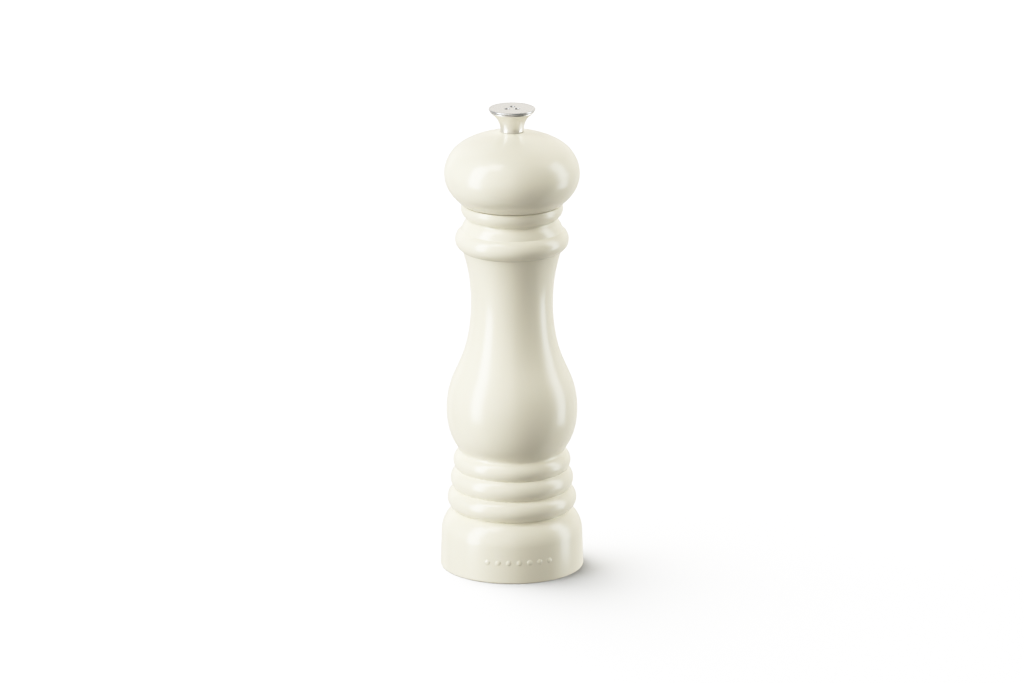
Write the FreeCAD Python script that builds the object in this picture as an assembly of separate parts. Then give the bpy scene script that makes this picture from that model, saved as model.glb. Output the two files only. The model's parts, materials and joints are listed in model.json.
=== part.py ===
"""Turned pepper mill: glossy body and head, flared metal knob and a ceramic burr set in the base.

Units are millimetres. +Z is up, the mill's axis is Z, and the origin is on the table under the axis.
The front, with the row of raised beads, faces -Y. Each sub-part is written to parts/NAME.step.

How it works: the head turns the square shaft through its drive plate, and the shaft turns the rotor
inside the stator. The knob is the nut on the shaft's threaded tip. Turning it clockwise, seen from
above, pulls the rotor up against its spring and into the stator, which gives a finer grind.
"""
import os
import math

import FreeCAD
import Part

# ---------------------------------------------------------------- driving dimensions
HEIGHT = 210.0            # table to the top of the knob
BASE_R = 31.9             # foot of the base
BASE_TOP_R = 31.45        # base wall where its shoulder begins
WALL = 3.0                # nominal wall of the glossy shells
SEAM_Z = 166.7            # top of the body, just under the head
SEAM_GAP = 0.4            # shadow gap between body and head
SHAFT_SIDE = 6.0          # square drive shaft
SHAFT_CORNER_R = 4.0      # the shaft's corners are turned down to this radius
THREAD_R = 2.5            # M5 thread at both ends of the shaft
THREAD_PITCH = 0.8
FINE_TRAVEL = 0.6         # rotor up, knob 270 degrees clockwise
COARSE_TRAVEL = 1.0       # rotor down, knob 450 degrees anticlockwise
RUNNING_GAP = 0.08        # radial play of a shaft in its bearing or thread
SLIDING_GAP = 0.15        # play of the square shaft in the drive plate

# outline of the body, as (radius, height): shoulder, three beads, bulge and waist, collar
FOOT_ROUND = 0.8
SHOULDER = [(BASE_TOP_R, 16.0), (30.7, 20.1), (25.9, 26.4)]
BEADS = [[(25.9, 26.4), (28.7, 30.2), (25.7, 36.1)],
         [(25.7, 36.1), (27.35, 39.8), (24.8, 45.1)],
         [(24.8, 45.1), (26.1, 47.9), (23.1, 53.25)]]
WAIST = [(23.1, 53.25), (26.55, 59.15), (29.15, 71.7), (27.2, 84.7), (22.55, 95.8), (19.0, 109.8),
         (18.25, 121.1), (18.9, 131.5), (20.35, 139.5), (22.0, 145.6)]
BIG_BEAD = [(22.0, 145.6), (25.25, 150.15), (22.55, 154.9)]
STEP_BEAD = [(22.55, 154.9), (21.35, 157.8), (19.4, 160.1)]
TOP_BEAD = [(19.4, 160.1), (22.55, 163.55), (22.1, SEAM_Z)]
# outline of the head, from the seam up to the rim of the knob's seat
HEAD = [(22.6, SEAM_Z + SEAM_GAP), (24.45, 168.75), (27.7, 172.55), (30.05, 180.3),
        (28.45, 187.0), (25.8, 190.85), (16.55, 196.4), (5.6, 199.45)]
HEAD_TOP_Z = HEAD[-1][1]

# bores and seats in the body
FOOT_BORE_R = 28.6
BODY_BORE_R = 15.2
TUBE_SEAT_R = 19.0
TUBE_SEAT_Z = 163.2
TUBE_R = (13.3, 14.9)     # bore and outside of the pepper chamber
TUBE_BOTTOM_Z = 41.5

# burr set
INSERT_R = 28.4           # insert that closes the foot
INSERT_Z = 3.0            # its underside, clear of the table
HOUSING_R = 19.4
FLANGE_R = 24.0
FLANGE_T = 2.4
OUTLET_R = 17.6
THROAT_R = 14.6
BRIDGE_Z = (6.0, 7.5)
STATOR_Z = (16.0, 27.5)
STATOR_R = 17.1
RETAINER_R = 15.6         # bore of the sleeve that holds the stator down
ROTOR_Z = (14.8, 28.0)
GRIP_Z = 20.0             # height where the coarse teeth hand over to the fine ones
SPIDER_Z = (36.0, 39.2)
SPIDER_R = 18.2
HUB_R = 6.3
HUB_TOP_Z = 41.0
NUT_Z = (11.2, 14.0)
SHAFT_TIP_Z = 6.8
SQUARE_TOP_Z = 183.5
SHAFT_TOP_Z = 207.0

# head fittings
SPIGOT_R = (11.2, 13.0)
SPIGOT_BOTTOM_Z = 156.0
PLUG_R = 19.3
PLUG_Z = (166.9, 169.9)
DRIVE_PLATE_R = 10.9
DRIVE_PLATE_T = 1.6
HEAD_HOLE_R = 3.2
WASHER_R = 5.0
WASHER_T = 0.8

# knob
KNOB_FOOT_Z = 199.6
KNOB_FOOT_R = 5.25
CAP_Z = 209.0             # underside of the knob's disc
CAP_R = 10.4
INSERT_NUT_R = 3.6

# fasteners: radius of shank, radius of head, height of head
INSERT_SCREW = (1.3, 1.8, 1.3)
FLANGE_SCREW = (1.2, 1.75, 1.2)
BRIDGE_SCREW = (0.9, 1.55, 0.9)
PLUG_SCREW = (1.2, 2.1, 1.3)
PLATE_SCREW = (1.1, 1.9, 1.0)
INSERT_SCREW_AT = (26.3, (90, 210, 330))
FLANGE_SCREW_AT = (21.9, (30, 150, 270))
BRIDGE_SCREW_AT = (16.0, (0, 180))
PLUG_SCREW_AT = (15.8, (30, 150, 270))
PLATE_SCREW_AT = (7.6, (45, 225))

ORIGIN = FreeCAD.Vector(0, 0, 0)
UP = FreeCAD.Vector(0, 0, 1)


# ---------------------------------------------------------------- drawing helpers
def at(point):
    """A point of a (radius, height) outline in the XZ plane."""
    return FreeCAD.Vector(point[0], 0, point[1])


def line(*points):
    return [Part.makeLine(at(a), at(b)) for a, b in zip(points, points[1:])]


def arc(start, middle, end):
    return [Part.Arc(at(start), at(middle), at(end)).toShape()]


def spline(points):
    curve = Part.BSplineCurve()
    curve.interpolate([at(p) for p in points])
    return [curve.toShape()]


def turned(edges):
    """The solid that a closed outline makes when it turns about the mill's axis."""
    solid = Part.Face(Part.Wire(edges)).revolve(ORIGIN, UP, 360)
    if solid.Volume < 0:
        solid.reverse()
    return solid


def turned_polygon(*points):
    return turned(line(*points, points[0]))


def rod(radius, bottom, top, x=0.0, y=0.0):
    return Part.makeCylinder(radius, top - bottom, FreeCAD.Vector(x, y, bottom))


def ring(inner, outer, bottom, top):
    return rod(outer, bottom, top).cut(rod(inner, bottom - 1, top + 1))


def block(x_size, y_size, bottom, top, x=0.0, y=0.0):
    corner = FreeCAD.Vector(x - x_size / 2, y - y_size / 2, bottom)
    return Part.makeBox(x_size, y_size, top - bottom, corner)


def polar(places):
    """The (x, y) of each fastener on a circle, from (radius, angles in degrees)."""
    radius, angles = places
    return [(radius * math.cos(math.radians(a)), radius * math.sin(math.radians(a))) for a in angles]


def spun(shape, degrees):
    copy = shape.copy()
    copy.rotate(ORIGIN, UP, degrees)
    return copy


def around(shape, count):
    return [spun(shape, 360.0 * k / count) for k in range(count)]


def one_solid(shape):
    """The single solid that a boolean's result must hold."""
    solids = shape.removeSplitter().Solids
    if len(solids) != 1:
        raise ValueError("a piece fell apart into %d solids" % len(solids))
    return solids[0]


def screw_up(size, x, y, seat, top):
    """A pan-head screw driven upwards: its head hangs under seat and has a cross recess."""
    shank_r, head_r, head_h = size
    head = rod(head_r, seat - head_h, seat, x, y)
    head = head.makeFillet(head_h * 0.45, [head.Edges[2]])
    shape = head.fuse(rod(shank_r, seat - 0.1, top, x, y))
    slot_w, slot_l, slot_h = head_r * 0.28, head_r * 1.2, head_h * 0.55
    under = seat - head_h
    for x_size, y_size in ((slot_l, slot_w), (slot_w, slot_l)):
        shape = shape.cut(block(x_size, y_size, under - 0.1, under + slot_h, x, y))
    return one_solid(shape)


def screws_up(size, places, seat, top):
    return Part.makeCompound([screw_up(size, x, y, seat, top) for x, y in polar(places)])


def holes(radius, places, bottom, top):
    return [rod(radius, bottom, top, x, y) for x, y in polar(places)]


# ---------------------------------------------------------------- body and foot
def body_outline():
    foot = (BASE_R - FOOT_ROUND, 0.0)
    bend = FOOT_ROUND * (1 - math.sqrt(0.5))
    edges = arc(foot, (BASE_R - bend, bend), (BASE_R, FOOT_ROUND))
    edges += line((BASE_R, FOOT_ROUND), SHOULDER[0])
    for piece in [SHOULDER] + BEADS:
        edges += arc(*piece)
    edges += spline(WAIST)
    for piece in (BIG_BEAD, STEP_BEAD, TOP_BEAD):
        edges += arc(*piece)
    return foot, edges


def body_shell():
    """Hollow glossy body. It keeps an even wall down to the foot, where three bosses take screws."""
    foot, outer = body_outline()
    waist_wall = [(20.3, 53.25), (23.9, 60.6), (26.1, 72.4), (24.2, 83.9), (19.6, 94.6),
                  (16.2, 107.5), (BODY_BORE_R, 121.1)]
    inner = line(TOP_BEAD[2], (TUBE_SEAT_R, SEAM_Z), (TUBE_SEAT_R, TUBE_SEAT_Z),
                 (BODY_BORE_R, TUBE_SEAT_Z), waist_wall[-1])
    inner += spline(waist_wall[::-1])
    inner += line(waist_wall[0], (22.0, 45.0), (22.6, 36.0), (22.9, 25.6))
    inner += arc((22.9, 25.6), (26.6, 20.2), (FOOT_BORE_R, 14.0))
    inner += line((FOOT_BORE_R, 14.0), (FOOT_BORE_R, 0.0), foot)
    shell = turned(outer + inner)
    boss_z = (INSERT_Z + 4.1, 18.0)
    bosses = holes(2.7, INSERT_SCREW_AT, *boss_z)
    shell = shell.fuse(bosses).cut(holes(INSERT_SCREW[0], INSERT_SCREW_AT, boss_z[0] - 1, 15.0))
    return one_solid(shell.fuse(front_beads()))


def front_beads():
    """A row of seven low raised beads on the front of the base, clear of the foot's radius."""
    count, step, middle = 7, 8.6, -84.2          # angles in degrees, -90 is the front
    height, bead_r, sink = 9.6, 2.2, 1.95
    share = (height - FOOT_ROUND) / (SHOULDER[0][1] - FOOT_ROUND)
    wall_r = BASE_R + (BASE_TOP_R - BASE_R) * share
    beads = []
    for k in range(count):
        angle = math.radians(middle + step * (k - (count - 1) / 2))
        centre_r = wall_r - sink
        centre = FreeCAD.Vector(centre_r * math.cos(angle), centre_r * math.sin(angle), height)
        beads.append(Part.makeSphere(bead_r, centre))
    return beads


def chamber_tube():
    inner, outer = TUBE_R
    flange_r, flange_top = TUBE_SEAT_R - 0.2, TUBE_SEAT_Z + 1.8
    return turned_polygon((inner, TUBE_BOTTOM_Z), (outer, TUBE_BOTTOM_Z), (outer, TUBE_SEAT_Z),
                          (flange_r, TUBE_SEAT_Z), (flange_r, flange_top), (inner + 0.6, flange_top),
                          (inner, flange_top - 0.6))


def base_insert():
    """Closes the foot, carries the burr housing and holds the lower end of the chamber tube."""
    sleeve_r = (HOUSING_R + 0.2, HOUSING_R + 2.1)
    pocket_r, plate_top = FLANGE_R + 0.2, INSERT_Z + 4.0
    flange_seat = INSERT_Z + FLANGE_T + 0.1
    socket_r = (TUBE_R[1] + 0.1, TUBE_R[1] + 2.0)
    shelf_z = TUBE_BOTTOM_Z - 2.0
    body = turned_polygon(
        (pocket_r, INSERT_Z), (INSERT_R, INSERT_Z), (INSERT_R, plate_top), (sleeve_r[1], plate_top),
        (sleeve_r[1], TUBE_BOTTOM_Z), (socket_r[1], TUBE_BOTTOM_Z), (socket_r[1], TUBE_BOTTOM_Z + 8.5),
        (socket_r[0], TUBE_BOTTOM_Z + 8.5), (socket_r[0], TUBE_BOTTOM_Z),
        (TUBE_R[0] + 0.1, TUBE_BOTTOM_Z), (TUBE_R[0] + 0.1, shelf_z), (sleeve_r[0], shelf_z),
        (sleeve_r[0], flange_seat), (pocket_r, flange_seat))
    body = body.fuse(holes(2.2, FLANGE_SCREW_AT, plate_top - 0.5, 14.0))
    body = body.cut(holes(FLANGE_SCREW[0], FLANGE_SCREW_AT, INSERT_Z, 13.0))
    body = body.cut(holes(INSERT_SCREW[0] + 0.2, INSERT_SCREW_AT, INSERT_Z - 1, plate_top + 1))
    sinks = holes(INSERT_SCREW[1] + 0.15, INSERT_SCREW_AT, INSERT_Z - 1, INSERT_Z + INSERT_SCREW[2] + 0.2)
    return one_solid(body.cut(sinks))


# ---------------------------------------------------------------- burr set
def mill_housing():
    flange_top = INSERT_Z + FLANGE_T
    body = turned_polygon(
        (OUTLET_R, INSERT_Z), (FLANGE_R, INSERT_Z), (FLANGE_R, flange_top), (HOUSING_R, flange_top),
        (HOUSING_R, SPIDER_Z[1]), (SPIDER_R, SPIDER_Z[1]), (SPIDER_R, SPIDER_Z[0]),
        (STATOR_R, SPIDER_Z[0]), (STATOR_R, STATOR_Z[0]), (THROAT_R, STATOR_Z[0]),
        (THROAT_R, BRIDGE_Z[1]), (OUTLET_R, BRIDGE_Z[1]))
    body = body.cut(holes(BRIDGE_SCREW[0], BRIDGE_SCREW_AT, BRIDGE_Z[1] - 1, 14.0))
    body = body.cut(holes(FLANGE_SCREW[0] + 0.2, FLANGE_SCREW_AT, INSERT_Z - 1, flange_top + 1))
    sinks = holes(FLANGE_SCREW[1] + 0.1, FLANGE_SCREW_AT, INSERT_Z - 1, INSERT_Z + FLANGE_SCREW[2] + 0.1)
    return one_solid(body.cut(sinks))


def slanted_rods(count, radius, start, end, twist):
    """Round cutters that run from start to end, both (radius, height), turning by twist degrees."""
    a, b = at(start), FreeCAD.Vector(end[0] * math.cos(math.radians(twist)),
                                     end[0] * math.sin(math.radians(twist)), end[1])
    run = b - a
    cutter = Part.makeCylinder(radius, run.Length, a, run)
    return around(cutter, count)


def stator():
    """Outer ceramic burr: a funnel with coarse teeth over a cone with fine teeth."""
    low, high = STATOR_Z
    body = turned_polygon((14.4, low), (STATOR_R, low), (STATOR_R, high), (14.8, high), (12.6, GRIP_Z))
    coarse = slanted_rods(9, 1.2, (15.1, high + 0.8), (12.5, GRIP_Z - 0.4), 24)
    fine = slanted_rods(30, 0.42, (12.3, GRIP_Z + 0.8), (14.75, low - 0.6), 10)
    return one_solid(body.cut(coarse).cut(fine))


def rotor():
    """Inner ceramic burr on the square of the shaft: coarse flutes above, fine teeth below."""
    low, high = ROTOR_Z
    body = turned_polygon((0.0, low), (13.9, low), (13.9, low + 0.6), (12.1, GRIP_Z), (7.0, high), (0.0, high))
    coarse = slanted_rods(7, 1.7, (8.3, high + 0.6), (13.0, GRIP_Z - 0.8), -34)
    fine = slanted_rods(28, 0.42, (12.25, GRIP_Z + 0.4), (14.4, low - 0.4), -10)
    side = SHAFT_SIDE + 0.1
    return one_solid(body.cut(coarse).cut(fine).cut(block(side, side, low - 1, high + 1)))


def stator_retainer():
    """Pressed sleeve that holds the stator down on its step, under the spider."""
    return ring(RETAINER_R, STATOR_R, STATOR_Z[1], SPIDER_Z[0])


def upper_spider():
    """Three-armed carrier over the rotor. Peppercorns fall between its arms."""
    low, high = SPIDER_Z
    rim = ring(15.4, SPIDER_R - 0.1, low, high)
    hub = rod(HUB_R, low, HUB_TOP_Z)
    arm = Part.makeBox(11.0, 2.4, high - low, FreeCAD.Vector(HUB_R - 1.0, -1.2, low))
    body = hub.fuse([rim] + around(arm, 3))
    return one_solid(body.cut(rod(SHAFT_CORNER_R + 1.0, low - 1, HUB_TOP_Z + 1)))


def shaft_bush():
    return ring(SHAFT_CORNER_R + RUNNING_GAP, SHAFT_CORNER_R + 1.0, SPIDER_Z[0] + 0.4, HUB_TOP_Z)


def lower_bridge():
    """Stamped steel bar under the rotor. Its drawn collar guides the shaft's tip."""
    low, high = BRIDGE_Z
    tip_r = THREAD_R - 0.55
    bar = block(2 * OUTLET_R, 8.0, low, high).common(rod(OUTLET_R - 0.2, low, high))
    body = bar.fuse(rod(tip_r + 1.5, low, high + 2.0)).cut(rod(tip_r + RUNNING_GAP, low - 1, high + 3))
    return one_solid(body.cut(holes(BRIDGE_SCREW[0] + 0.15, BRIDGE_SCREW_AT, low - 1, high + 1)))


def spring():
    """Compression spring between the spider's hub and the spring seat."""
    wire_r, coil_r, turns = 0.45, 5.35, 4.5
    bottom, top = ROTOR_Z[1] + 1.1 + wire_r, SPIDER_Z[0] - 0.05 - wire_r
    pitch = (top - bottom) / turns
    helix = Part.makeHelix(pitch, top - bottom, coil_r)
    helix.translate(FreeCAD.Vector(0, 0, bottom))
    start = FreeCAD.Vector(coil_r, 0, bottom)
    along = FreeCAD.Vector(0, 2 * math.pi * coil_r, pitch)
    section = Part.Wire(Part.makeCircle(wire_r, start, along))
    return Part.Wire(helix.Edges).makePipeShell([section], True, True)


def spring_seat():
    low = ROTOR_Z[1] + 0.05
    return ring(SHAFT_CORNER_R + 0.3, 6.4, low, low + 1.0)


def rotor_washer():
    return ring(THREAD_R + 0.1, 6.2, NUT_Z[1], ROTOR_Z[0])


def rotor_nut():
    low, high = NUT_Z
    across_flats = 8.0
    corner_r = across_flats / math.sqrt(3)
    corners = [FreeCAD.Vector(corner_r * math.cos(math.radians(a)), corner_r * math.sin(math.radians(a)), low)
               for a in range(0, 361, 60)]
    hexagon = Part.Face(Part.makePolygon(corners)).extrude(UP * (high - low))
    chamfer = Part.makeCone(corner_r - 0.45, corner_r + 1.9, high - low, FreeCAD.Vector(0, 0, low))
    return one_solid(hexagon.common(chamfer).cut(rod(THREAD_R, low - 1, high + 1)))


def drive_shaft():
    """Square bar with an M5 thread for the rotor's nut, a plain tip and an M5 thread for the knob."""
    tip_r, root_r = THREAD_R - 0.55, THREAD_R - 0.4
    square = block(SHAFT_SIDE, SHAFT_SIDE, ROTOR_Z[0], SQUARE_TOP_Z)
    square = square.common(rod(SHAFT_CORNER_R, ROTOR_Z[0], SQUARE_TOP_Z))
    thread_bottom = SHAFT_TOP_Z - 0.5 - 14 * THREAD_PITCH
    outline = [(0.0, SHAFT_TOP_Z), (0.0, SQUARE_TOP_Z - 0.5), (THREAD_R, SQUARE_TOP_Z - 0.5),
               (THREAD_R, thread_bottom)]
    for k in range(14):
        low = thread_bottom + k * THREAD_PITCH
        outline += [(root_r, low + THREAD_PITCH / 2), (THREAD_R, low + THREAD_PITCH)]
    outline += [(root_r, SHAFT_TOP_Z)]
    top = turned(line(*outline, outline[0]))
    low_end = rod(THREAD_R, NUT_Z[0] - 0.3, ROTOR_Z[0] + 0.5).fuse(rod(tip_r, SHAFT_TIP_Z, NUT_Z[0]))
    return one_solid(square.fuse([top, low_end]))


# ---------------------------------------------------------------- head and knob
def glide_ring():
    return ring(SPIGOT_R[1] + 0.4, TUBE_SEAT_R - 0.3, TUBE_SEAT_Z + 1.9, PLUG_Z[0] - 0.1)


def head_shell():
    """Hollow glossy head with a boss round the shaft and three posts for the plug's screws."""
    wall_in = [(19.5, 169.6), (24.9, 173.6), (27.1, 180.0), (25.7, 185.9), (22.6, 189.6),
               (15.0, 193.9), (8.0, 195.4)]
    seat_z = HEAD_TOP_Z - WASHER_T - 0.1
    seat_r = WASHER_R + 0.1
    boss_bottom = 186.0
    edges = spline(HEAD)
    edges += line(HEAD[-1], (seat_r, HEAD_TOP_Z), (seat_r, seat_z), (HEAD_HOLE_R, seat_z),
                  (HEAD_HOLE_R, boss_bottom), (7.0, boss_bottom), (8.0, 195.4))
    edges += spline(wall_in[::-1])
    edges += line(wall_in[0], (19.5, HEAD[0][1]), HEAD[0])
    shell = turned(edges)
    posts = holes(2.8, PLUG_SCREW_AT, PLUG_Z[1] + 0.1, 194.2)
    shell = shell.fuse(posts)
    return one_solid(shell.cut(holes(PLUG_SCREW[0], PLUG_SCREW_AT, PLUG_Z[1], 182.0)))


def head_plug():
    """Disc that closes the head, with a spigot that turns inside the mouth of the chamber tube."""
    low, high = PLUG_Z
    shaft_hole = SHAFT_CORNER_R + 0.8
    body = turned_polygon((shaft_hole, low), (SPIGOT_R[0], low), (SPIGOT_R[0], SPIGOT_BOTTOM_Z),
                          (SPIGOT_R[1] - 0.5, SPIGOT_BOTTOM_Z), (SPIGOT_R[1], SPIGOT_BOTTOM_Z + 0.8),
                          (SPIGOT_R[1], low), (PLUG_R, low), (PLUG_R, high), (shaft_hole, high))
    body = body.fuse(holes(2.6, PLATE_SCREW_AT, high - 0.5, high + 4.0))
    body = body.cut(holes(PLATE_SCREW[0], PLATE_SCREW_AT, low - 1, high + 3.5))
    body = body.cut(holes(PLUG_SCREW[0] + 0.2, PLUG_SCREW_AT, low - 1, high + 1))
    return one_solid(body.cut(holes(PLUG_SCREW[1] + 0.2, PLUG_SCREW_AT, low - 1, low + PLUG_SCREW[2] + 0.1)))


def drive_plate():
    """Steel disc whose square hole slides on the shaft and turns it."""
    low, high = PLUG_Z[0] - DRIVE_PLATE_T, PLUG_Z[0]
    side = SHAFT_SIDE + 2 * SLIDING_GAP
    body = rod(DRIVE_PLATE_R, low, high).cut(block(side, side, low - 1, high + 1))
    return one_solid(body.cut(holes(PLATE_SCREW[0] + 0.2, PLATE_SCREW_AT, low - 1, high + 1)))


def knob_washer():
    return ring(HEAD_HOLE_R, WASHER_R, KNOB_FOOT_Z - 0.1 - WASHER_T, KNOB_FOOT_Z - 0.1)


def knob_body():
    """Trumpet-shaped stem of the knob."""
    flare = [(KNOB_FOOT_R, 201.0), (5.8, 203.2), (7.4, 206.0), (8.5, 207.05), (9.95, 208.35)]
    edges = line((INSERT_NUT_R, CAP_Z), (INSERT_NUT_R, KNOB_FOOT_Z), (KNOB_FOOT_R - 0.25, KNOB_FOOT_Z),
                 (KNOB_FOOT_R, KNOB_FOOT_Z + 0.25), flare[0])
    edges += spline(flare)
    edges += line(flare[-1], (9.95, CAP_Z - 0.25), (9.6, CAP_Z - 0.1), (9.6, CAP_Z), (INSERT_NUT_R, CAP_Z))
    return turned(edges)


def knob_insert():
    return ring(THREAD_R + RUNNING_GAP, INSERT_NUT_R, KNOB_FOOT_Z + 0.6, CAP_Z - 0.3)


def knob_cap():
    """Thin polished disc with a rounded rim and a mark of three sunk dots, like peppercorns."""
    rim = [(CAP_R - 0.25, CAP_Z), (CAP_R, CAP_Z + 0.45), (CAP_R - 0.55, HEIGHT)]
    edges = line((0.0, CAP_Z), rim[0]) + arc(*rim) + line(rim[2], (0.0, HEIGHT), (0.0, CAP_Z))
    dots = [rod(1.25, HEIGHT - 0.35, HEIGHT + 1, x, y) for x, y in polar((2.3, (90, 210, 330)))]
    return one_solid(turned(edges).cut(dots))


PARTS = {
    "body_shell": body_shell,
    "chamber_tube": chamber_tube,
    "base_insert": base_insert,
    "base_insert_screws": lambda: screws_up(INSERT_SCREW, INSERT_SCREW_AT,
                                            INSERT_Z + INSERT_SCREW[2] + 0.2, 14.5),
    "mill_housing": mill_housing,
    "housing_screws": lambda: screws_up(FLANGE_SCREW, FLANGE_SCREW_AT,
                                        INSERT_Z + FLANGE_SCREW[2] + 0.1, 12.5),
    "stator_burr": stator,
    "stator_retainer": stator_retainer,
    "upper_spider": upper_spider,
    "shaft_bush": shaft_bush,
    "lower_bridge": lower_bridge,
    "bridge_screws": lambda: screws_up(BRIDGE_SCREW, BRIDGE_SCREW_AT, BRIDGE_Z[0], 13.0),
    "rotor_spring": spring,
    "spring_seat": spring_seat,
    "rotor_burr": rotor,
    "rotor_washer": rotor_washer,
    "rotor_nut": rotor_nut,
    "drive_shaft": drive_shaft,
    "glide_ring": glide_ring,
    "head_shell": head_shell,
    "head_plug": head_plug,
    "head_screws": lambda: screws_up(PLUG_SCREW, PLUG_SCREW_AT, PLUG_Z[0] + PLUG_SCREW[2] + 0.1, 181.0),
    "drive_plate": drive_plate,
    "drive_plate_screws": lambda: screws_up(PLATE_SCREW, PLATE_SCREW_AT, PLUG_Z[0] - DRIVE_PLATE_T, 173.0),
    "knob_washer": knob_washer,
    "knob_body": knob_body,
    "knob_insert": knob_insert,
    "knob_cap": knob_cap,
}


def main():
    os.makedirs("parts", exist_ok=True)
    for name, make in PARTS.items():
        shape = make()
        if not shape.isValid() or shape.Volume <= 0:
            raise ValueError(name + " is not a valid solid")
        shape.exportStep("parts/" + name + ".step")
        box = shape.BoundBox
        print("%-20s %8.0f mm3   z %.2f to %.2f   solids %d"
              % (name, shape.Volume, box.ZMin, box.ZMax, len(shape.Solids)))


main()
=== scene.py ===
"""Looks for the turned pepper mill: glossy ivory shells, a satin metal knob, and the pieces inside.

Outlines are in millimetres as (radius, height), and become metres in the mesh.
"""
import json
import math

import bmesh
import bpy
import numpy as np
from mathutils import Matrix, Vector


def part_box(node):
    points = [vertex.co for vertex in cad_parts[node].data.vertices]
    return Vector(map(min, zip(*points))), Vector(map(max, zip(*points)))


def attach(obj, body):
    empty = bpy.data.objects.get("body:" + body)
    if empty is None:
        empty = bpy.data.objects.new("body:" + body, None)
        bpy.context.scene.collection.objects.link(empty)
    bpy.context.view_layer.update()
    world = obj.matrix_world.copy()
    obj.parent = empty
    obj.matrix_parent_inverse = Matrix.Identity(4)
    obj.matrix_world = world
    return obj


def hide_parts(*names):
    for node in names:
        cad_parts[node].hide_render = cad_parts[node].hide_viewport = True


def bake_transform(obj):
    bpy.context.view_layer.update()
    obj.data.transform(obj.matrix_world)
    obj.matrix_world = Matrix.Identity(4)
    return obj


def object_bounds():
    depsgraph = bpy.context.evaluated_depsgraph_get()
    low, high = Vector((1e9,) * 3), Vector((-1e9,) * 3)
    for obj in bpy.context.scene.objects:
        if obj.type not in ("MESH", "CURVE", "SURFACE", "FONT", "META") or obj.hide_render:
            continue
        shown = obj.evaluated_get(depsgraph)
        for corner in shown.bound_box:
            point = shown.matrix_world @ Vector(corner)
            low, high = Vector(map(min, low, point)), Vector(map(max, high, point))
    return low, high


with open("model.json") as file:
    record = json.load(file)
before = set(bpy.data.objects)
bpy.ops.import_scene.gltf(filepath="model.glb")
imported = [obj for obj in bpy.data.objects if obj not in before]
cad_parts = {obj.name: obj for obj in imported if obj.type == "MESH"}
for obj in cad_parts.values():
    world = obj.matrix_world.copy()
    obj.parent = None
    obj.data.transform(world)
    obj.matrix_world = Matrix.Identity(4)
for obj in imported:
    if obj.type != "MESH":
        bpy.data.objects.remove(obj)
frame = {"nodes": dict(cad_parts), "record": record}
cad_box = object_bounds()

MM = 0.001
TURN = 2 * math.pi

# ---------------------------------------------------------------- driving dimensions, mm
HEIGHT = cad_box[1].z / MM
BASE_R = cad_box[1].x / MM
BASE_TOP_R = 31.45
SEAM_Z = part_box("body_shell")[1].z / MM
SEAM_GAP = 0.4
FOOT_ROUND = 0.8
EDGE = 0.3                # how far a crisp moulded edge is rounded
GROOVE = 0.45             # how far a groove is softened
COVE = 1.3                # the same for the wider coves, over the three low beads and under the top one
WALL_TOP = 0.6            # how far the edge between the foot's wall and its shoulder is rounded
INNER_EDGE = 0.25         # how far an edge inside a shell is rounded
FINE = 0.56               # spacing of points along an outline
NEAR = 1e-4               # points closer than this are one point
SEGMENTS = 216            # steps round a shell
KNOB_SEGMENTS = 192       # steps round the knob

SHOULDER = [(BASE_TOP_R, 16.0), (30.7, 20.1), (25.9, 26.4)]
LOW_BEAD = [SHOULDER[-1], (28.7, 30.2), (25.7, 36.1)]
MIDDLE_BEAD = [LOW_BEAD[-1], (27.35, 39.8), (24.8, 45.1)]
HIGH_BEAD = [MIDDLE_BEAD[-1], (26.1, 47.9), (23.1, 53.25)]
WAIST = [HIGH_BEAD[-1], (26.55, 59.15), (29.15, 71.7), (27.2, 84.7), (22.55, 95.8), (19.0, 109.8),
         (18.25, 121.1), (18.9, 131.5), (20.35, 139.5), (22.0, 145.6)]
BIG_BEAD = [WAIST[-1], (25.25, 150.15), (22.55, 154.9)]
STEP_BEAD = [BIG_BEAD[-1], (21.35, 157.8), (19.4, 160.1)]
TOP_BEAD = [STEP_BEAD[-1], (22.55, 163.55), (22.1, SEAM_Z)]
BODY_INSIDE = [(19.0, SEAM_Z), (19.0, 163.2), (15.2, 163.2), (15.2, 121.1), (16.2, 107.5), (19.6, 94.6),
               (24.2, 83.9), (26.1, 72.4), (23.9, 60.6), (20.3, 53.25), (22.0, 45.0), (22.6, 36.0),
               (22.9, 25.6), (26.6, 20.2), (28.6, 14.0), (28.6, 0.0)]
HEAD = [(22.6, SEAM_Z + SEAM_GAP), (24.45, 168.75), (27.7, 172.55), (30.05, 180.3),
        (28.45, 187.0), (25.8, 190.85), (16.55, 196.4), (5.6, 199.45)]
HEAD_INSIDE = [(5.1, 199.45), (5.1, 198.55), (3.2, 198.55), (3.2, 186.0), (7.0, 186.0), (8.0, 195.4),
               (15.0, 193.9), (22.6, 189.6), (25.7, 185.9), (27.1, 180.0), (24.9, 173.6),
               (19.5, 169.6), (19.5, SEAM_Z + SEAM_GAP)]
KNOB_FOOT_R = 5.25
KNOB_FOOT_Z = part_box("knob_body")[0].z / MM
CAP_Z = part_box("knob_cap")[0].z / MM
CAP_R = 10.4
# pieces that keep the CAD's shape, and how far their edges are eased
SOFT_EDGES = {"base_insert": 0.3, "mill_housing": 0.25, "head_plug": 0.25, "chamber_tube": 0.2,
              "glide_ring": 0.2, "upper_spider": 0.2, "drive_plate": 0.12, "lower_bridge": 0.12,
              "knob_washer": 0.12, "spring_seat": 0.12, "stator_retainer": 0.12}

# ---------------------------------------------------------------- light
WHITE_POINT = 1.7         # brightness that the picture shows as pure white
STRAIGHT_TO = 0.45        # brightness up to which the tone curve is straight
LAST_SLOPE = 0.05         # slope of the tone curve at white
WARM_WHITE = (1.06, 1.0, 0.9, 1)


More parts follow.
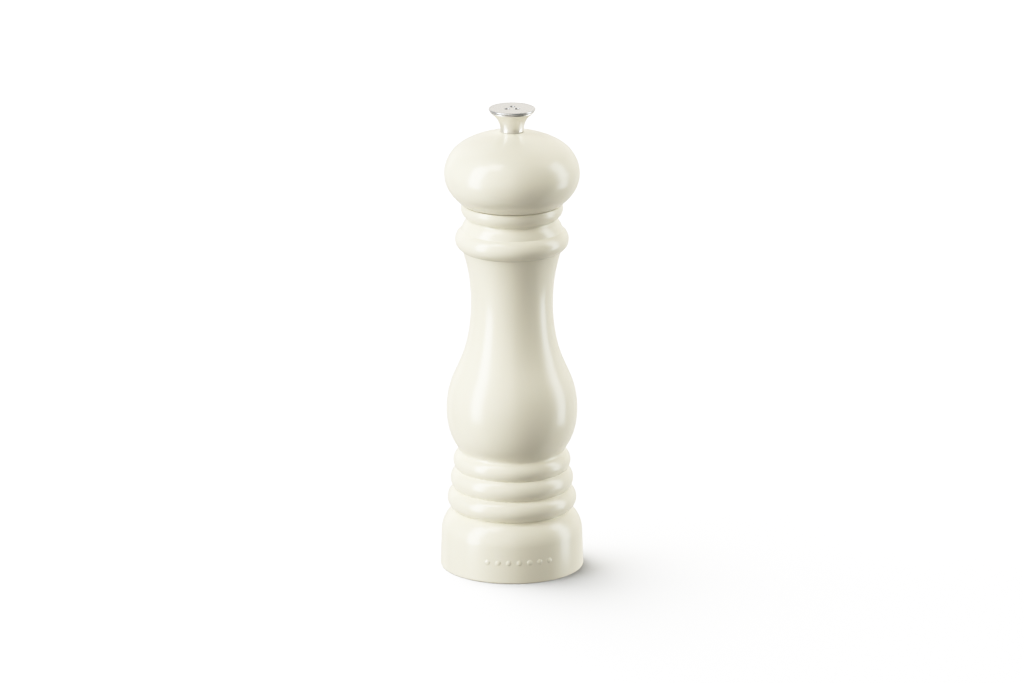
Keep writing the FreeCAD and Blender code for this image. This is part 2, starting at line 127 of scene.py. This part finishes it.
# ---------------------------------------------------------------- outlines
def arc(points):
    """Points along the circular arc through three (radius, height) points."""
    (ax, ay), (bx, by), (cx, cy) = points
    d = 2 * (ax * (by - cy) + bx * (cy - ay) + cx * (ay - by))
    a2, b2, c2 = ax * ax + ay * ay, bx * bx + by * by, cx * cx + cy * cy
    ux = (a2 * (by - cy) + b2 * (cy - ay) + c2 * (ay - by)) / d
    uy = (a2 * (cx - bx) + b2 * (ax - cx) + c2 * (bx - ax)) / d
    radius = math.hypot(ax - ux, ay - uy)
    first, via, last = (math.atan2(y - uy, x - ux) for x, y in points)
    sweep = (last - first) % TURN
    if (via - first) % TURN > sweep:
        sweep -= TURN
    count = max(6, math.ceil(abs(sweep) * radius / FINE))
    angles = [first + sweep * k / count for k in range(count + 1)]
    return [(ux + radius * math.cos(angle), uy + radius * math.sin(angle)) for angle in angles]


def spline(points):
    """Points along the natural cubic spline through the given points, by chord length."""
    p = np.array(points, float)
    t = np.concatenate([[0], np.cumsum(np.hypot(*np.diff(p, axis=0).T))])
    n, h = len(p), np.diff(t)
    system, right = np.eye(n), np.zeros((n, 2))
    for i in range(1, n - 1):
        system[i, i - 1:i + 2] = h[i - 1], 2 * (h[i - 1] + h[i]), h[i]
        right[i] = 6 * ((p[i + 1] - p[i]) / h[i] - (p[i] - p[i - 1]) / h[i - 1])
    bend = np.linalg.solve(system, right)
    out = []
    for at in np.linspace(0, t[-1], math.ceil(t[-1] / FINE) + 1):
        i = min(int(np.searchsorted(t, at, side="right")) - 1, n - 2)
        a, b = (t[i + 1] - at) / h[i], (at - t[i]) / h[i]
        curve = (a ** 3 - a) * bend[i] + (b ** 3 - b) * bend[i + 1]
        out.append(tuple(a * p[i] + b * p[i + 1] + curve * h[i] ** 2 / 6))
    return out


def straight(*points):
    """A run of straight edges, each a piece of its own so that its corners are rounded."""
    return [[a, b] for a, b in zip(points, points[1:])]


def trimmed(points, length):
    """The polyline with this much taken off its start."""
    points = list(points)
    while len(points) > 2 and math.dist(points[0], points[1]) <= length:
        length -= math.dist(points[0], points[1])
        points.pop(0)
    share = min(0.5, length / math.dist(points[0], points[1]))
    points[0] = tuple(a + (b - a) * share for a, b in zip(points[0], points[1]))
    return points


def rounded(start, corner, end, steps=5):
    """The points between start and end on a curve that cuts the corner."""
    return [tuple((1 - t) ** 2 * a + 2 * t * (1 - t) * c + t * t * b for a, c, b in zip(start, corner, end))
            for t in (k / steps for k in range(1, steps))]


def outline(pieces, rounding):
    """Joins polylines into a closed outline. rounding has a distance for the corner after each piece."""
    shaped = []
    for i, piece in enumerate(pieces):
        if rounding[i - 1]:
            piece = trimmed(piece, rounding[i - 1])
        if rounding[i]:
            piece = trimmed(piece[::-1], rounding[i])[::-1]
        shaped.append(piece)
    points = []
    for i, piece in enumerate(shaped):
        points += piece
        if rounding[i]:
            points += rounded(piece[-1], pieces[i][-1], shaped[(i + 1) % len(shaped)][0])
    kept = [points[0]]
    for point in points[1:]:
        if math.dist(point, kept[-1]) > NEAR:
            kept.append(point)
    if math.dist(kept[0], kept[-1]) < NEAR:
        kept.pop()
    return kept


# ---------------------------------------------------------------- meshes
def add_object(name, data):
    obj = bpy.data.objects.new(name, data)
    bpy.context.scene.collection.objects.link(obj)
    return obj


def build(name, verts, faces, sharp=None):
    """A smooth object whose faces look outwards. Edges over this angle in degrees are kept crisp."""
    mesh = bpy.data.meshes.new(name)
    mesh.from_pydata(verts, [], faces)
    mesh.validate()
    bm = bmesh.new()
    bm.from_mesh(mesh)
    bmesh.ops.recalc_face_normals(bm, faces=bm.faces)
    bm.to_mesh(mesh)
    bm.free()
    mesh.shade_smooth()
    if sharp:
        mesh.set_sharp_from_angle(angle=math.radians(sharp))
    return add_object(name, mesh)


def lathe(rows, segments, closed=False):
    """Vertices and faces of rows of (radius, height) in mm. A radius may be a list, one for each angle."""
    verts, faces, rings = [], [], []
    for radius, z in rows:
        if not isinstance(radius, list) and radius < NEAR:
            rings.append([len(verts)] * segments)
            verts.append((0.0, 0.0, z * MM))
        else:
            radii = radius if isinstance(radius, list) else [radius] * segments
            rings.append(range(len(verts), len(verts) + segments))
            for k, r in enumerate(radii):
                angle = TURN * k / segments
                verts.append((r * MM * math.cos(angle), r * MM * math.sin(angle), z * MM))
    pairs = list(zip(rings, rings[1:]))
    if closed:
        pairs.append((rings[-1], rings[0]))
    for low, high in pairs:
        for k in range(segments):
            n = (k + 1) % segments
            corners = []
            for v in (low[k], low[n], high[n], high[k]):
                if v not in corners:
                    corners.append(v)
            if len(corners) > 2:
                faces.append(corners)
    return verts, faces


def turned(name, points, segments):
    """The solid that a closed outline makes when it is turned about the axis."""
    return build(name, *lathe(points, segments, closed=True))


# ---------------------------------------------------------------- nodes
def noise(tree, scale, detail, roughness=0.5, stretch=(1, 1, 1)):
    """A noise texture in object space, scale in cycles per metre."""
    coords = tree.nodes.new("ShaderNodeTexCoord")
    mapping = tree.nodes.new("ShaderNodeMapping")
    mapping.inputs["Scale"].default_value = stretch
    texture = tree.nodes.new("ShaderNodeTexNoise")
    texture.inputs["Scale"].default_value = scale
    texture.inputs["Detail"].default_value = detail
    texture.inputs["Roughness"].default_value = roughness
    tree.links.new(coords.outputs["Object"], mapping.inputs["Vector"])
    tree.links.new(mapping.outputs["Vector"], texture.inputs["Vector"])
    return texture.outputs["Fac"]


def ramp(tree, value, low, high, start=0.3, end=0.7):
    """A colour between low and high, driven by a 0..1 value."""
    node = tree.nodes.new("ShaderNodeValToRGB")
    for stop, position, colour in zip(node.color_ramp.elements, (start, end), (low, high)):
        stop.position = position
        stop.color = (*colour, 1)
    tree.links.new(value, node.inputs["Fac"])
    return node.outputs["Color"]


def spread(tree, value, low, high):
    """Maps a 0..1 value to low..high."""
    node = tree.nodes.new("ShaderNodeMapRange")
    node.inputs["To Min"].default_value = low
    node.inputs["To Max"].default_value = high
    tree.links.new(value, node.inputs["Value"])
    return node.outputs["Result"]


def smooth_step(tree, value, start, end, low=0.0, high=1.0):
    """Goes smoothly from low to high while the value goes from start to end."""
    node = tree.nodes.new("ShaderNodeMapRange")
    node.interpolation_type = "SMOOTHSTEP"
    for place, number in (("From Min", start), ("From Max", end), ("To Min", low), ("To Max", high)):
        node.inputs[place].default_value = number
    tree.links.new(value, node.inputs["Value"])
    return node.outputs["Result"]


def combine(tree, operation, a, b):
    """Arithmetic on two values, each a number or the output of a node."""
    node = tree.nodes.new("ShaderNodeMath")
    node.operation = operation
    for place, value in zip(node.inputs, (a, b)):
        if isinstance(value, (int, float)):
            place.default_value = value
        else:
            tree.links.new(value, place)
    return node.outputs["Value"]


def bump(tree, value, distance):
    """A surface raised by up to this distance in metres."""
    node = tree.nodes.new("ShaderNodeBump")
    node.inputs["Strength"].default_value = 1.0
    node.inputs["Distance"].default_value = distance
    tree.links.new(value, node.inputs["Height"])
    return node.outputs["Normal"]


# ---------------------------------------------------------------- materials
def shader(name, **values):
    """A node material whose Principled shader has these constants. Returns it, its tree and its shader."""
    mat = bpy.data.materials.new(name)
    mat.use_nodes = True
    bsdf = next(n for n in mat.node_tree.nodes if n.type == "BSDF_PRINCIPLED")
    for key, value in values.items():
        bsdf.inputs[key.replace("_", " ")].default_value = value
    return mat, mat.node_tree, bsdf


def drive(tree, bsdf, **outputs):
    """Links each node output to the shader's input of that name."""
    for key, output in outputs.items():
        tree.links.new(output, bsdf.inputs[key.replace("_", " ")])


def ivory_gloss():
    """Glossy ivory moulding with a hair of depth. Its reflections are a little soft at their edges."""
    mat, tree, bsdf = shader("ivory_gloss", IOR=1.5, Subsurface_Weight=0.05, Subsurface_Scale=0.001,
                             Subsurface_Radius=(1.0, 0.8, 0.5))
    drive(tree, bsdf,
          Base_Color=ramp(tree, noise(tree, 30, 2), (0.818, 0.781, 0.636), (0.824, 0.787, 0.642)),
          Roughness=spread(tree, noise(tree, 120, 2), 0.20, 0.22),
          Normal=bump(tree, noise(tree, 700, 1), 0.0000015))
    return mat


def satin_nickel(name, low, high, roughness, metallic):
    """Evenly brushed nickel, without a direction."""
    mat, tree, bsdf = shader(name, Metallic=metallic, IOR=1.5)
    drive(tree, bsdf,
          Base_Color=ramp(tree, noise(tree, 220, 3), low, high),
          Roughness=spread(tree, noise(tree, 700, 3), roughness - 0.02, roughness + 0.03))
    return mat


def moulded(name, low, high, roughness):
    """Fine-grained moulded plastic."""
    mat, tree, bsdf = shader(name, IOR=1.48)
    drive(tree, bsdf,
          Base_Color=ramp(tree, noise(tree, 90, 4), low, high),
          Roughness=spread(tree, noise(tree, 400, 3), roughness - 0.05, roughness + 0.06),
          Normal=bump(tree, noise(tree, 2600, 3), 0.000012))
    return mat


def worked_metal(name, low, high, roughness, stretch):
    """Metal with a directional finish from drawing, stamping or turning."""
    mat, tree, bsdf = shader(name, Metallic=1.0)
    lines = noise(tree, 900, 4, 0.6, stretch)
    drive(tree, bsdf,
          Base_Color=ramp(tree, noise(tree, 140, 4), low, high),
          Roughness=spread(tree, lines, roughness - 0.07, roughness + 0.09),
          Normal=bump(tree, lines, 0.000006))
    return mat


def fired_ceramic():
    """Ground, unglazed technical ceramic with a speckle."""
    mat, tree, bsdf = shader("fired_ceramic", IOR=1.6, Subsurface_Weight=0.08, Subsurface_Scale=0.0008)
    drive(tree, bsdf,
          Base_Color=ramp(tree, noise(tree, 1500, 4), (0.78, 0.77, 0.72), (0.87, 0.86, 0.82)),
          Roughness=spread(tree, noise(tree, 500, 3), 0.38, 0.55),
          Normal=bump(tree, noise(tree, 3500, 3), 0.00002))
    return mat


def paper_table():
    """Matt table top. It gets whiter further out, where less light falls, so that it looks evenly white."""
    near, far, near_grey, far_grey = 0.5, 2.6, 0.34, 0.95
    mat, tree, bsdf = shader("white_table", IOR=1.4)
    coords = tree.nodes.new("ShaderNodeTexCoord")
    distance = tree.nodes.new("ShaderNodeVectorMath")
    distance.operation = "LENGTH"
    tree.links.new(coords.outputs["Object"], distance.inputs[0])
    fade = smooth_step(tree, distance.outputs["Value"], near, far)
    drive(tree, bsdf,
          Base_Color=ramp(tree, fade, (near_grey,) * 3, (far_grey,) * 3, 0, 1),
          Roughness=spread(tree, noise(tree, 3, 2), 0.75, 0.85))
    return mat


def give(obj, material):
    """Gives the object this one material, and returns the object."""
    obj.data.materials.clear()
    obj.data.materials.append(material)
    return obj


# ---------------------------------------------------------------- ivory shells
def make_body():
    bend = FOOT_ROUND * (1 - math.sqrt(0.5))
    foot = (BASE_R - FOOT_ROUND, 0.0)
    wall = [(BASE_R, FOOT_ROUND), SHOULDER[0]]
    pieces = [arc([foot, (BASE_R - bend, bend), wall[0]]), wall]
    rounding = [0, WALL_TOP]
    curves = [(arc, SHOULDER, GROOVE), (arc, LOW_BEAD, GROOVE), (arc, MIDDLE_BEAD, GROOVE),
              (arc, HIGH_BEAD, COVE), (spline, WAIST, GROOVE), (arc, BIG_BEAD, GROOVE),
              (arc, STEP_BEAD, COVE), (arc, TOP_BEAD, EDGE)]
    for shape, points, softness in curves:
        pieces.append(shape(points))
        rounding.append(softness)
    inside = straight(TOP_BEAD[-1], *BODY_INSIDE, foot)
    body = turned("ivory_body", outline(pieces + inside, rounding + [INNER_EDGE] * len(inside)), SEGMENTS)
    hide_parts("body_shell")
    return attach(give(body, IVORY), "mill_body")


def make_head():
    crown_edge, well_edge = 0.2, 0.1
    outside = [spline(HEAD), [HEAD[-1], HEAD_INSIDE[0]]]
    inside = straight(*HEAD_INSIDE, HEAD[0])
    rounding = [crown_edge, well_edge] + [INNER_EDGE] * len(inside)
    head = turned("ivory_head", outline(outside + inside, rounding), SEGMENTS)
    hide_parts("head_shell")
    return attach(give(head, IVORY), "head")


def make_front_beads():
    """Seven low domes in a row on the base. Each has a soft foot that runs out into the wall."""
    count, step, row_angle, row_z = 7, 8.6, -84.2, 9.6      # angles in degrees, height in mm
    dome_r, rise, sink, plump, rings, spokes = 1.35, 0.24, 0.4, 0.9, 10, 32
    slope = (BASE_TOP_R - BASE_R) / (SHOULDER[0][1] - FOOT_ROUND)
    verts, faces = [], []

    def put(angle, z, out):
        """A point this far out from the base's wall. Returns its number."""
        r = BASE_R + (z - FOOT_ROUND) * slope + out
        verts.append((r * MM * math.cos(angle), r * MM * math.sin(angle), z * MM))
        return len(verts) - 1

    for k in range(count):
        dome_angle = math.radians(row_angle + step * (k - (count - 1) / 2))
        top = put(dome_angle, row_z, rise)
        rows = []
        for i in range(1, rings + 1):
            share = i / rings
            out = rise * (1 - share ** 2) ** 2 * (1 + plump * share ** 2)
            if i == rings:
                out -= sink
            reach = dome_r * min(share, (rings - 1) / rings)
            row = []
            for s in range(spokes):
                turn = TURN * s / spokes
                angle = dome_angle + reach * math.cos(turn) / BASE_R
                row.append(put(angle, row_z + reach * math.sin(turn), out))
            rows.append(row)
        bottom = put(dome_angle, row_z, -sink)
        for s in range(spokes):
            n = (s + 1) % spokes
            faces.append((top, rows[0][s], rows[0][n]))
            faces += [(low[s], high[s], high[n], low[n]) for low, high in zip(rows, rows[1:])]
            faces.append((bottom, rows[-1][n], rows[-1][s]))
    beads = build("front_beads", verts, faces)
    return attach(give(beads, IVORY), "mill_body")


# ---------------------------------------------------------------- knob
def make_knob():
    bore, rim, seat = 3.6, 9.95, 9.6
    foot = (KNOB_FOOT_R, KNOB_FOOT_Z)
    flare = [(KNOB_FOOT_R, 201.0), (5.8, 203.2), (7.4, 206.0), (8.5, 207.05), (rim, 208.35)]
    sides = [[foot, flare[0]], spline(flare)]
    sides += straight(flare[-1], (rim, CAP_Z - 0.25), (seat, CAP_Z - 0.1), (seat, CAP_Z), (bore, CAP_Z),
                      (bore, KNOB_FOOT_Z), foot)
    rounding = [0, 0.1, 0.08, 0.05, 0.03, 0.03, 0.2, 0.25]
    stem = turned("knob_stem", outline(sides, rounding), KNOB_SEGMENTS)
    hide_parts("knob_body")
    disc = make_disc()
    # the disc gets the darker copy of the nickel, with painted shade on its face
    for piece, look in ((stem, NICKEL), (disc, SHADED_DISC_NICKEL)):
        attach(give(piece, look), "knob")


def make_disc():
    """The knob's disc, with a rolled rim, a level face and a mark of three sunk dots."""
    dot_r, dot_ring, depth, wall, dots_end = 1.4, 2.5, 0.42, 0.1, 3.9
    face_z = HEIGHT - 0.07
    angles = [TURN / 4 + TURN * k / 3 for k in range(3)]
    dots = [(dot_ring * math.cos(a), dot_ring * math.sin(a)) for a in angles]
    rows = [(0.0, CAP_Z), (3.0, CAP_Z)]
    rows += arc([(CAP_R - 0.35, CAP_Z), (CAP_R, CAP_Z + 0.5), (CAP_R - 0.55, HEIGHT)])
    rows += [(CAP_R - 0.7, HEIGHT), (CAP_R - 0.78, HEIGHT - 0.05), (CAP_R - 0.9, face_z)]
    rows += [(r, face_z) for r in np.linspace(8.0, 4.0, 5)]
    # rows lie close together over the dots, so that the dots' walls are steep
    rows += [(r, face_z) for r in np.linspace(dots_end, 0.1, 64)] + [(0.0, face_z)]
    verts, faces = lathe(rows, KNOB_SEGMENTS)
    sunk = []
    for x, y, z in verts:
        if abs(z / MM - face_z) < NEAR:
            near = min(math.hypot(x / MM - u, y / MM - v) for u, v in dots)
            share = min(1.0, max(0.0, (dot_r - near) / wall))
            z -= depth * MM * share * share * (3 - 2 * share)
        sunk.append((x, y, z))
    disc = build("knob_disc", sunk, faces)
    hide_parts("knob_cap")
    return disc


# ---------------------------------------------------------------- shaft and spring
def make_shaft():
    """Square bar with turned-down corners. Both ends are round, and each has a cut M5 thread."""
    segments, pitch, crest, root, corner, half = 144, 0.8, 2.5, 2.1, 4.0, 3.0
    tip, chamfer, runout, thread_row, crisp = 1.95, 0.3, 0.5, 0.08, 28
    flat = 0.1        # share of the pitch
    thread_low, square_low, square_top, thread_high = 11.0, 14.8, 183.5, 195.3
    low, high = (v.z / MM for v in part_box("drive_shaft"))
    angles = [TURN * k / segments for k in range(segments)]
    square = [min(corner, half / max(abs(math.cos(a)), abs(math.sin(a)))) for a in angles]
    square_end = [crest + (r - crest) * 0.6 for r in square]

    def thread(bottom, top):
        """Rows of a thread that runs out at both ends. Its crest and its root are flat."""
        steps = round((top - bottom) / thread_row)
        rows = []
        for i in range(steps + 1):
            z = bottom + (top - bottom) * i / steps
            fade = min(1.0, (z - bottom) / runout, (top - z) / runout)
            ridge = [abs((z / pitch - a / TURN) % 1.0 - 0.5) * 2 for a in angles]
            depth = [fade * (1 - min(1.0, max(0.0, (r - flat) / (1 - 2 * flat)))) for r in ridge]
            rows.append(([crest - (crest - root) * d for d in depth], z))
        return rows

    rows = [(0.0, low), (tip - chamfer, low), (tip, low + chamfer), (tip, thread_low - 0.1)]
    rows += [(crest, thread_low - 0.05)] + thread(thread_low, square_low - 0.4)
    rows += [(crest, square_low - 0.02), (square, square_low)]
    rows += [(square, square_top - 0.35), (square_end, square_top), (crest, square_top)]
    rows += [(crest, thread_high - 0.3)] + thread(thread_high, high - 0.5)
    rows += [(crest, high - 0.45), (root, high), (0.0, high)]
    bar = build("spindle_bar", *lathe(rows, segments), crisp)
    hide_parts("drive_shaft")
    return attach(give(bar, ALUMINIUM), "spindle")


def make_spring():
    """Compression spring with closed ends. Its wire follows a helix whose pitch tightens at both ends."""
    wire, coil, turns, closed, clearance = 0.45, 5.35, 5.2, 0.8, 0.02
    around, steps_per_turn, crisp = 14, 48, 50
    hub_z, seat_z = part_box("upper_spider")[0].z / MM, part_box("spring_seat")[1].z / MM
    low, high = seat_z + wire + clearance, hub_z - wire - clearance
    # a closed end rises by half the wire's thickness in a turn, and by a little more
    end_rise = wire * closed * 1.02
    steps = round(turns * steps_per_turn)
    verts, faces = [], []
    for i in range(steps + 1):
        t = turns * i / steps
        if t < closed:
            z = low + end_rise * t / closed
        elif t > turns - closed:
            z = high - end_rise * (turns - t) / closed
        else:
            z = low + end_rise + (high - low - 2 * end_rise) * (t - closed) / (turns - 2 * closed)
        a = TURN * t
        for k in range(around):
            b = TURN * k / around
            r = coil + wire * math.cos(b)
            verts.append((r * MM * math.cos(a), r * MM * math.sin(a), (z + wire * math.sin(b)) * MM))
        if i:
            at = i * around
            faces += [(at - around + k, at - around + (k + 1) % around, at + (k + 1) % around, at + k)
                      for k in range(around)]
    faces += [tuple(range(around)), tuple(range(len(verts) - 1, len(verts) - 1 - around, -1))]
    spring = give(build("wire_spring", verts, faces, crisp), STEEL)
    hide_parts("rotor_spring")
    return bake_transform(spring)


# ---------------------------------------------------------------- CAD nodes that stay
def dress_cad_nodes():
    looks = {"black_plastic": BLACK, "grey_plastic": GREY, "white_nylon": NYLON, "white_ceramic": CERAMIC,
             "aluminium": ALUMINIUM, "stainless_steel": STEEL, "zinc_steel": ZINC, "brass": BRASS,
             "ivory_gloss": IVORY, "polished_metal": NICKEL}
    slots = {part["node"]: part["material_slot"] for part in frame["record"]["subparts"]}
    for name, node in frame["nodes"].items():
        for place in node.material_slots:
            place.material = looks[slots[name]]
        if name in SOFT_EDGES:
            soften = node.modifiers.new("soft_edges", "BEVEL")
            soften.width = SOFT_EDGES[name] * MM
            soften.segments = 2
            soften.limit_method = "ANGLE"
            soften.angle_limit = math.radians(40)
            soften.harden_normals = True


# ---------------------------------------------------------------- stage
def aim(obj, target):
    obj.rotation_mode = "QUATERNION"
    obj.rotation_quaternion = (Vector(target) - obj.location).to_track_quat("-Z", "Y")


def from_axis(azimuth, elevation, distance, height):
    """A place this far from a point on the axis. Azimuth 0 is the camera's side, and 90 is its right."""
    a, e = math.radians(azimuth), math.radians(elevation)
    away = Vector((math.sin(a) * math.cos(e), -math.cos(a) * math.cos(e), math.sin(e)))
    return Vector((0, 0, height)) + distance * away


def make_camera():
    elevation, distance, aim_height = 16.24, 3.678, 0.1029
    data = bpy.data.cameras.new("camera")
    data.sensor_width, data.lens = 36.0, 291.375
    data.clip_start, data.clip_end = 0.1, 60
    camera = add_object("camera", data)
    camera.location = from_axis(0, elevation, distance, aim_height)
    aim(camera, (0, 0, aim_height))
    bpy.context.scene.camera = camera


def softbox(name, azimuth, elevation, distance, size, watts, colour=(1, 1, 1)):
    """A rectangular light that faces the mill's middle. Its size is (width, height), in metres."""
    middle = 0.1
    data = bpy.data.lights.new(name, "AREA")
    data.shape = "RECTANGLE"
    data.size, data.size_y = size
    data.energy, data.color = watts, colour
    light = add_object(name, data)
    light.location = from_axis(azimuth, elevation, distance, middle)
    aim(light, (0, 0, middle))
    light.visible_camera = False
    return light


def flag(tree, azimuth, height, azimuths, heights, soft, strength):
    """A dark flag beside the set: the share of light that passes it. Its limits are angles in degrees."""
    edge = math.radians(soft)
    limits = ((azimuth, [math.radians(angle) for angle in azimuths], edge),
              (height, [math.sin(math.radians(angle)) for angle in heights], math.sin(edge)))
    shade = strength
    for value, (low, high), blur in limits:
        for start, end in ((low - blur, low + blur), (high + blur, high - blur)):
            shade = combine(tree, "MULTIPLY", shade, smooth_step(tree, value, start, end))
    return combine(tree, "SUBTRACT", 1.0, shade)


def make_surroundings():
    """White walls with three dark gaps, a dark ceiling and a dark floor. The camera sees plain white."""
    world = bpy.data.worlds.new("studio")
    bpy.context.scene.world = world
    world.use_nodes = True
    tree = world.node_tree
    coords = tree.nodes.new("ShaderNodeTexCoord")
    split = tree.nodes.new("ShaderNodeSeparateXYZ")
    tree.links.new(coords.outputs["Generated"], split.inputs[0])
    front = combine(tree, "MULTIPLY", split.outputs["Y"], -1.0)
    azimuth = combine(tree, "ARCTAN2", split.outputs["X"], front)
    # this height is the sine of the elevation, from -1 below to 1 above
    height = split.outputs["Z"]
    ceiling = smooth_step(tree, height, 0.95, 0.75)
    ground = smooth_step(tree, height, -0.95, -0.75)
    front_right = flag(tree, azimuth, height, azimuths=(5, 76), heights=(-95, 62), soft=6, strength=1.0)
    left = flag(tree, azimuth, height, azimuths=(-132, -78), heights=(-26, 50), soft=7, strength=0.9)
    low_front = flag(tree, azimuth, height, azimuths=(-48, 8), heights=(-95, -6), soft=12, strength=0.72)
    light = smooth_step(tree, height, -0.1, 0.1, low=1.0, high=1.36)
    for factor in (ceiling, ground, front_right, left, low_front):
        light = combine(tree, "MULTIPLY", light, factor)
    background = next(n for n in tree.nodes if n.type == "BACKGROUND")
    background.inputs["Color"].default_value = WARM_WHITE
    tree.links.new(light, background.inputs["Strength"])
    white = tree.nodes.new("ShaderNodeBackground")
    white.inputs["Color"].default_value = (1, 1, 1, 1)
    white.inputs["Strength"].default_value = WHITE_POINT
    choose = tree.nodes.new("ShaderNodeMixShader")
    tree.links.new(tree.nodes.new("ShaderNodeLightPath").outputs["Is Camera Ray"], choose.inputs["Fac"])
    tree.links.new(background.outputs["Background"], choose.inputs[1])
    tree.links.new(white.outputs["Background"], choose.inputs[2])
    surface = next(n for n in tree.nodes if n.type == "OUTPUT_WORLD").inputs["Surface"]
    tree.links.new(choose.outputs["Shader"], surface)


def make_floor():
    half_side = 9.0
    bm = bmesh.new()
    bmesh.ops.create_grid(bm, x_segments=1, y_segments=1, size=half_side)
    mesh = bpy.data.meshes.new("floor")
    bm.to_mesh(mesh)
    bm.free()
    floor = give(add_object("floor", mesh), paper_table())
    # the light that comes up from below is part of the surroundings, which are darker at the front right
    floor.visible_diffuse = floor.visible_glossy = floor.visible_shadow = False
    return floor


def make_lights(floor):
    """Three softboxes light the mill. A fourth lights only the floor, and gives the soft shadow on it."""
    softbox("key_left", azimuth=-65, elevation=17, distance=1.5, size=(0.6, 1.9), watts=21,
            colour=(0.92, 1.0, 1.1))
    softbox("key_high", azimuth=-46, elevation=58, distance=1.6, size=(0.5, 0.6), watts=4.7)
    softbox("rim_right", azimuth=96, elevation=10, distance=1.5, size=(0.55, 1.8), watts=13.5,
            colour=(0.92, 1.0, 1.06))
    table_light = softbox("table_light", azimuth=-126, elevation=53, distance=3.0, size=(3.5, 3.5),
                          watts=640)
    table_only = bpy.data.collections.new("table_only")
    table_only.objects.link(floor)
    table_light.light_linking.receiver_collection = table_only


def soften_highlights():
    """A camera's tone curve: straight in the dark and middle tones, with a long shoulder up to white."""
    settings = bpy.context.scene.view_settings
    settings.view_transform = "Standard"
    settings.look = "None"
    settings.use_curve_mapping = True
    tone = settings.curve_mapping
    tone.white_level = (WHITE_POINT,) * 3
    steps, span = 8, WHITE_POINT - STRAIGHT_TO
    for k in range(steps):
        t = k / steps
        level = (2 * t ** 3 - 3 * t ** 2 + 1) * STRAIGHT_TO + (t ** 3 - 2 * t ** 2 + t) * span
        level += -2 * t ** 3 + 3 * t ** 2 + (t ** 3 - t ** 2) * span * LAST_SLOPE
        tone.curves[3].points.new((STRAIGHT_TO + span * t) / WHITE_POINT, min(1.0, level))
    tone.update()


make_camera()
IVORY = ivory_gloss()
NICKEL = satin_nickel("satin_nickel", (0.81, 0.79, 0.745), (0.85, 0.83, 0.785), 0.33, 0.8)
# the disc is the stem's nickel with painted shade: a darker, less metallic copy, so that its flat face
# looks grey
SHADED_DISC_NICKEL = satin_nickel("disc_nickel_painted_shade", (0.505, 0.508, 0.512), (0.535, 0.538, 0.542), 0.20, 0.6)
BLACK = moulded("black_moulding", (0.022, 0.022, 0.024), (0.035, 0.035, 0.038), 0.42)
GREY = moulded("grey_moulding", (0.26, 0.26, 0.27), (0.31, 0.31, 0.32), 0.45)
NYLON = moulded("natural_nylon", (0.76, 0.75, 0.69), (0.82, 0.81, 0.76), 0.38)
CERAMIC = fired_ceramic()
ALUMINIUM = worked_metal("drawn_aluminium", (0.70, 0.71, 0.72), (0.78, 0.79, 0.80), 0.30, (1, 1, 0.04))
STEEL = worked_metal("stamped_steel", (0.56, 0.56, 0.56), (0.66, 0.66, 0.66), 0.27, (0.05, 1, 1))
ZINC = worked_metal("zinc_plated", (0.52, 0.54, 0.58), (0.64, 0.66, 0.68), 0.30, (1, 1, 1))
BRASS = worked_metal("turned_brass", (0.70, 0.52, 0.24), (0.80, 0.62, 0.32), 0.24, (0.3, 0.3, 6))
make_body()
make_front_beads()
make_head()
make_knob()
make_shaft()
make_spring()
dress_cad_nodes()
make_lights(make_floor())
make_surroundings()
soften_highlights()
